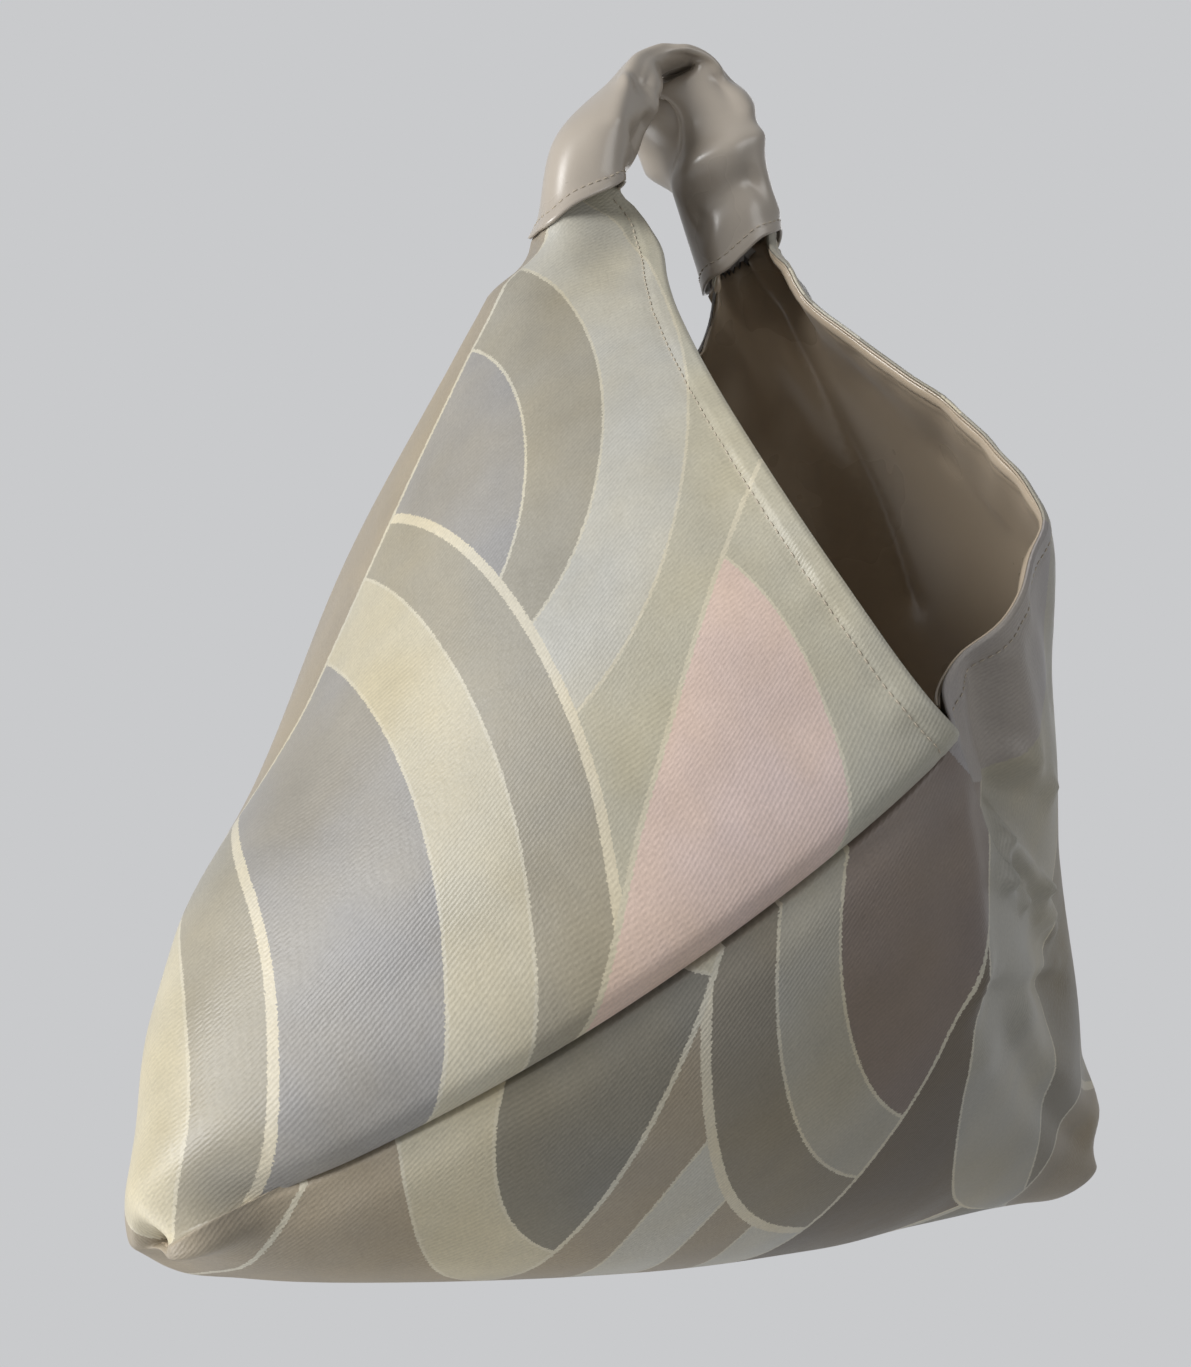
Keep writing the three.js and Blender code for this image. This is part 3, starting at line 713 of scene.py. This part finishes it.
# The lining: the same strip again in champagne satin, sewn in along the hems, where it is rolled into a soft
# lip beside the brocade's edge. It is left out where it is hidden: in the valleys, the bottom corners and the
# rolled seam.
lining_thick, lining_code, lining_threads = 0.7 * mm, "BFAF99", 1.1
hem_gap, more_gap, valley_gap, lip_gap = 0.95 * mm, 0.75 * mm, 2.2 * mm, 1.7 * mm
valley_hides, tip_hides, roll_hides, roll_length = 14 * mm, 22 * mm, 10 * mm, 95 * mm
valleys = ((0, 0), (2 * panel, 0), (panel, panel), (3 * panel, panel))
from_valleys = np.min([np.hypot(u - at_u, v - at_v) for at_u, at_v in valleys], 0)
lining_in = hem_gap + more_gap * ramp(from_hem, 0, 5 * mm)
lining_in += valley_gap * (1 - ramp(from_valleys, 12 * mm, 40 * mm))
lining_in += lip_gap * bump(from_hem, 4.2 * mm, 2.6 * mm) * ramp(from_valleys, 14 * mm, 45 * mm)
shape_out = cloth_out(shape)
lining_shape = shape - lining_in[:, :, None] * shape_out
lining_points = np.zeros_like(strip_points)
lining_points[fine_number[fine_own]] = lining_shape[fine_own]
hidden = (from_valleys <= valley_hides) | (from_tips <= tip_hides)
hidden |= (to_left_tip < roll_length) & (from_seam <= roll_hides)
shows = ~hidden[:-1, :-1].ravel()[strip_kept]
lining = piece("lining_cloth", lining_points, strip_faces[shows], strip_uv[shows])
thicken(lining, lining_thick)


def satin(name, code, threads):
    """Satin: long floating threads, this many a millimetre, so it is smooth, with broad soft highlights."""
    material, tree = new_material(name)
    place = put(tree, "ShaderNodeTexCoord").outputs["Object"]
    broad = put(tree, "ShaderNodeTexNoise", {"Vector": place, "Scale": 0.018 / mm, "Detail": 3.0})
    floats = put(tree, "ShaderNodeTexNoise", {"Vector": place, "Scale": threads / mm, "Detail": 2.0})
    tone = put(tree, "ShaderNodeMapRange", {
        **noise_span, "Value": broad.outputs[0], "To Min": 0.95, "To Max": 1.04})
    body = put(tree, "ShaderNodeVectorMath", {0: colour(code)[:3], "Scale": tone.outputs[0]},
               operation="SCALE")
    rough = put(tree, "ShaderNodeMapRange", {
        **noise_span, "Value": broad.outputs[0], "To Min": 0.24, "To Max": 0.34})
    weave = put(tree, "ShaderNodeBump", {
        "Height": floats.outputs[0], "Strength": 0.08, "Distance": 0.2 * mm})
    surface = put(tree, "ShaderNodeBsdfPrincipled", {
        "Base Color": body.outputs[0], "Roughness": rough.outputs[0], "Normal": weave.outputs[0],
        "Sheen Weight": 0.1, "Sheen Roughness": 0.35, "IOR": silk_ior, "Specular IOR Level": 0.8})
    put(tree, "ShaderNodeOutputMaterial", {0: surface.outputs[0]})
    return material


lining.data.materials.append(satin("lining_satin", lining_code, lining_threads))
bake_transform(lining)
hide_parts("lining_strip")

# The handle: a satin tube drawn over both peaks and sewn round its rims. It is wide at the rims, twists on
# its way up and is gathered over the top, where it is carried, so the cloth falls into soft folds.
sleeve_thick, sleeve_code, sleeve_threads = 1.0 * mm, "B3A99C", 0.9
sleeve_rows, sleeve_around = 160, 120
sleeve_girth = 104 * mm
section_power = 2.5
path_steps = np.linalg.norm(np.diff(sleeve_path[:, 0], axis=0), axis=1)
path_reached = np.concatenate([[0], np.cumsum(path_steps)])
sleeve_length = path_reached[-1]
along_share = np.linspace(0, 1, sleeve_rows + 1)[:, None]
round_angle = (np.arange(sleeve_around) * 2 * math.pi / sleeve_around)[None, :]
section_at = np.interp(along_share[:, 0] * sleeve_length, path_reached, np.arange(len(path_reached)))
sections = np.einsum("ti,iak->tak", between(section_at, len(path_steps)), sleeve_path)


def squared(wave):
    """A round wave with fuller corners."""
    return np.sign(wave) * np.abs(wave) ** (2 / section_power)


def tube_outward(points):
    """The direction out of the sleeve at each of its points."""
    out = np.cross(np.roll(points, -1, 1) - np.roll(points, 1, 1), np.gradient(points, axis=0))
    return out / np.maximum(np.linalg.norm(out, axis=2), 1e-9)[:, :, None]


to_first, to_second = squared(np.cos(round_angle)), squared(np.sin(round_angle))
tube = sections[:, None, 0] + to_first[..., None] * sections[:, None, 1]
tube = tube + to_second[..., None] * sections[:, None, 2]

# Its folds, on the flat cloth of the sleeve: from the left rim along it, and round it from the first half
# axis over the second, each with its half width and its height, all in millimetres
sleeve_folds = [
    ((92, 80), (97, 83), 6, 2), ((115, 76), (117, 83), 7, 2.5), ((104, 78), (105, 90), 6, -2.5),
    ((131, 84), (142, 116), 7, 2.6), ((114, 96), (120, 110), 12, -2.5), ((152, 90), (156, 112), 7, -3.2),
    ((133, 83), (165, 81), 5, 1.8), ((108, 17), (126, 20), 7, -4), ((114, 28), (131, 33), 7, 15),
    ((28, 65), (51, 68), 5, 1.5), ((51, 68), (82, 70), 5, 1.5), ((57, 80), (61, 83), 8, -3),
    ((49, 88), (52, 90), 7, 2), ((26, 80), (41, 87), 5, -3.5), ((24, 4), (66, 12), 8, -2.5),
    ((101, 50), (146, 58), 8, -3), ((70, 44), (99, 48), 7, 2), ((33, 24), (59, 30), 7, 1.8),
    ((0, 78), (3, 78), 8, -2), ((0, 26), (2, 26), 6, -0.8),
]
girth_mm = sleeve_girth / mm
along_sleeve, round_sleeve = along_share * sleeve_length / mm, round_angle * girth_mm / (2 * math.pi)
from_rim = np.minimum(along_share, 1 - along_share) * sleeve_length
rim_hem, sewn_at, rim_double, rim_wavy = 6.5 * mm, 4.7 * mm, 0.5 * mm, 0.9 * mm
sleeve_work = rim_double * (1 - ramp(from_rim, sewn_at, rim_hem) - bump(from_rim, sewn_at, 0.9 * mm))
for start, end, width, height in sleeve_folds:
    turns = [crease(along_sleeve, round_sleeve + k * girth_mm, start, end, width) for k in (-1, 0, 1)]
    sleeve_work = sleeve_work + height * mm * np.max(turns, 0)
rim_wave = np.sin(2 * round_angle + 1) + 0.7 * np.sin(5 * round_angle)
rim_wave = rim_wavy * rim_wave * (1 - ramp(from_rim, 0, 22 * mm))
along_tube = np.gradient(tube, axis=0)
along_tube /= np.linalg.norm(along_tube, axis=2)[:, :, None]
tube += sleeve_work[:, :, None] * tube_outward(tube) + rim_wave[:, :, None] * along_tube
tube_number = np.arange((sleeve_rows + 1) * sleeve_around).reshape(sleeve_rows + 1, sleeve_around)
next_number = np.roll(tube_number, -1, axis=1)
tube_faces = np.stack([tube_number[:-1], next_number[:-1], next_number[1:], tube_number[1:]], -1)
sleeve = piece("handle_sleeve_satin", tube.reshape(-1, 3), tube_faces.reshape(-1, 4))
thicken(sleeve, sleeve_thick)
sleeve.data.materials.append(satin("handle_satin", sleeve_code, sleeve_threads))
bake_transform(sleeve)
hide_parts("handle_sleeve")

# The threads: a running stitch of silk along each hem of the mouth and round both rims of the sleeve, through
# all the layers there. Each stitch is a short soft rod that lies on the cloth with its ends sunk in.
thread_code = "BEB3A1"
stitch_sizes = {"Spacing": 3.2 * mm, "Length": 2.2 * mm, "Thickness": 0.6 * mm}


def silk_thread():
    """Twisted silk: half matt, and lighter and darker along the twist, about every 0.7 mm."""
    material, tree = new_material("silk_thread")
    place = put(tree, "ShaderNodeTexCoord").outputs["Object"]
    twist = put(tree, "ShaderNodeTexNoise", {"Vector": place, "Scale": 1.5 / mm, "Detail": 1.0})
    tone = put(tree, "ShaderNodeMapRange", {
        **noise_span, "Value": twist.outputs[0], "To Min": 0.88, "To Max": 1.06})
    body = put(tree, "ShaderNodeVectorMath", {0: colour(thread_code)[:3], "Scale": tone.outputs[0]},
               operation="SCALE")
    surface = put(tree, "ShaderNodeBsdfPrincipled", {
        "Base Color": body.outputs[0], "Roughness": 0.45, "IOR": silk_ior})
    put(tree, "ShaderNodeOutputMaterial", {0: surface.outputs[0]})
    return material


def running_stitch(material):
    """Lays stitches along the edges of a mesh, which are the line that the needle follows."""
    tree = bpy.data.node_groups.new("running_stitch", "GeometryNodeTree")
    tree.interface.new_socket("Row", in_out="INPUT", socket_type="NodeSocketGeometry")
    for name in stitch_sizes:
        tree.interface.new_socket(name, in_out="INPUT", socket_type="NodeSocketFloat")
    tree.interface.new_socket("Stitches", in_out="OUTPUT", socket_type="NodeSocketGeometry")
    given = put(tree, "NodeGroupInput").outputs
    line = put(tree, "GeometryNodeMeshToCurve", {0: given["Row"]})
    places = put(tree, "GeometryNodeCurveToPoints", {0: line.outputs[0], "Length": given["Spacing"]},
                 mode="LENGTH")
    rod = put(tree, "GeometryNodeMeshUVSphere", {"Segments": 6, "Rings": 5, "Radius": 0.5})
    size = put(tree, "ShaderNodeCombineXYZ", {
        0: given["Thickness"], 1: given["Thickness"], 2: given["Length"]})
    shaped = put(tree, "GeometryNodeTransform", {0: rod.outputs[0], "Scale": size.outputs[0]})
    turn = put(tree, "FunctionNodeAlignRotationToVector", {"Vector": places.outputs["Tangent"]}, axis="Z")
    laid = put(tree, "GeometryNodeInstanceOnPoints", {
        0: places.outputs[0], 2: shaped.outputs[0], "Rotation": turn.outputs[0]})
    real = put(tree, "GeometryNodeRealizeInstances", {0: laid.outputs[0]})
    dressed = put(tree, "GeometryNodeSetMaterial", {0: real.outputs[0], "Material": material})
    put(tree, "NodeGroupOutput", {0: dressed.outputs[0]})
    return tree


stitch_tree = running_stitch(silk_thread())


def sew(name, points, closed, replaced):
    """One row of stitches along these points."""
    count = len(points)
    edges = [(k, (k + 1) % count) for k in range(count if closed else count - 1)]
    row = piece(name, points, edges=edges)
    stitches = row.modifiers.new("stitches", "NODES")
    stitches.node_group = stitch_tree
    for item in stitch_tree.interface.items_tree:
        if item.name in stitch_sizes:
            stitches[item.identifier] = stitch_sizes[item.name]
    finish_mesh(row)
    row.data.polygons.foreach_set("use_smooth", [True] * len(row.data.polygons))
    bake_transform(row)
    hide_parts(replaced)


def grid_line(grid, places, at, axis):
    """The line of a grid at one place along an axis."""
    k = np.searchsorted(places, at) - 1
    share = (at - places[k]) / (places[k + 1] - places[k])
    return (1 - share) * np.take(grid, k, axis) + share * np.take(grid, k + 1, axis)


on_cloth = 0.15 * mm
outside = shape + on_cloth * shape_out
from_valley, below_sleeve = 8 * mm, 3 * mm
hem_lines = {
    "front_left": (grid_line(outside, u_lines, hem_inset, 0), lines, sleeve_path[0]),
    "back_left": (grid_line(outside, lines, panel - hem_inset, 1)[: fine + 1], panel - lines, sleeve_path[0]),
    "back_right": (grid_line(outside, u_lines, 3 * panel - hem_inset, 0), panel - lines, sleeve_path[-1]),
    "front_right": (grid_line(outside, lines, hem_inset, 1)[2 * fine :], lines, sleeve_path[-1]),
}
for name, (points, along_line, rim) in hem_lines.items():
    sewn = (along_line > from_valley) & (above_rim(points, rim) < -below_sleeve)
    sew("hem_stitches_" + name, points[sewn], False, "hem_thread_" + name)
tube_out = tube_outward(tube)
sewn_row = round(sewn_at / sleeve_length * sleeve_rows)
for name, row in (("left", sewn_row), ("right", sleeve_rows - sewn_row)):
    sew("rim_stitches_" + name, tube[row] + on_cloth * tube_out[row], True, "rim_thread_" + name)

# Where it hangs: a plain pale floor, painted matt, a round disc that stays well below the bag. It is no part
# of the bag and takes only its soft shadow.
floor_below, floor_radius = 0.50, 2.2
floor_place = (0, 0, cad_box[0].z - floor_below)
room = colour("C9CACC")
bpy.ops.mesh.primitive_circle_add(vertices=64, radius=floor_radius, fill_type="NGON", location=floor_place)
floor = bpy.context.object
floor.name = "floor"
pale_floor, floor_tree = new_material("pale_floor")
matte = put(floor_tree, "ShaderNodeBsdfPrincipled", {"Base Color": room, "Roughness": 0.9})
put(floor_tree, "ShaderNodeOutputMaterial", {0: matte.outputs[0]})
floor.data.materials.append(pale_floor)

# The surround is the same even pale colour. It shows at full strength and lights the bag only a little.
shown_strength, light_strength = 1.0, 0.2
world = bpy.data.worlds.new("pale_room")
bpy.context.scene.world = world
world.use_nodes = True
air = world.node_tree
air.nodes.clear()
ray = put(air, "ShaderNodeLightPath").outputs
seen_rays = put(air, "ShaderNodeMath", {0: ray["Is Camera Ray"], 1: ray["Is Glossy Ray"]},
                operation="MAXIMUM")
all_rays = put(air, "ShaderNodeMath", {0: seen_rays.outputs[0], 1: ray["Is Transmission Ray"]},
               operation="MAXIMUM")
lit = put(air, "ShaderNodeBackground", {"Color": room, "Strength": light_strength})
shown = put(air, "ShaderNodeBackground", {"Color": room, "Strength": shown_strength})
mixed = put(air, "ShaderNodeMixShader", {0: all_rays.outputs[0], 1: lit.outputs[0], 2: shown.outputs[0]})
put(air, "ShaderNodeOutputWorld", {0: mixed.outputs[0]})


def soft_lamp(name, place, aim, size, power):
    """A round lamp of this size across, turned to what it lights."""
    lamp = bpy.data.lights.new(name, "AREA")
    lamp.energy = power
    lamp.shape = "DISK"
    lamp.size = size
    made = bpy.data.objects.new(name, lamp)
    made.location = place
    made.rotation_mode = "QUATERNION"
    made.rotation_quaternion = (Vector(aim) - Vector(place)).to_track_quat("-Z", "Y")
    made.visible_camera = False
    bpy.context.scene.collection.objects.link(made)


# Soft light comes from the upper left, and much weaker light from the front, from behind and from below
bag_middle = (0, 0, -0.25)
soft_lamp("key", (-1.85, -0.15, 0.5), bag_middle, 1.0, 37)
soft_lamp("front_right", (0.5, -1.7, 0.1), bag_middle, 1.0, 5)
soft_lamp("behind", (1.5, 1.3, 0.5), bag_middle, 1.2, 4.5)
soft_lamp("bounce", (-0.55, 0.25, -0.85), bag_middle, 0.6, 3.5)

# The camera stands a metre away, in front and to the left. It is a little below the bag's middle and looks
# slightly up at it.
azimuth, elevation, roll_turn = math.radians(-37.5), math.radians(-9.4), math.radians(-0.4)
camera_away, aim_aside, aim_height = 1.0, -0.0259, -0.2287
focal_pixels, frame_pixels = 2772, 1367
right_way = Vector((math.cos(azimuth), math.sin(azimuth), 0))
level_back = Vector((math.sin(azimuth), -math.cos(azimuth), 0))
back_way = math.cos(elevation) * level_back + Vector((0, 0, math.sin(elevation)))
up_way = back_way.cross(right_way)
level = math.cos(roll_turn) * right_way + math.sin(roll_turn) * up_way
upright = math.cos(roll_turn) * up_way - math.sin(roll_turn) * right_way
view = bpy.data.cameras.new("camera")
view.sensor_width = 36
view.lens = view.sensor_width * focal_pixels / frame_pixels
camera = bpy.data.objects.new("camera", view)
camera_place = aim_aside * right_way + Vector((0, 0, aim_height)) + camera_away * back_way
camera_turn = Matrix((level, upright, back_way)).transposed().to_4x4()
camera.matrix_world = Matrix.Translation(camera_place) @ camera_turn
bpy.context.scene.collection.objects.link(camera)
bpy.context.scene.camera = camera
bpy.context.scene.view_settings.view_transform = "Standard"
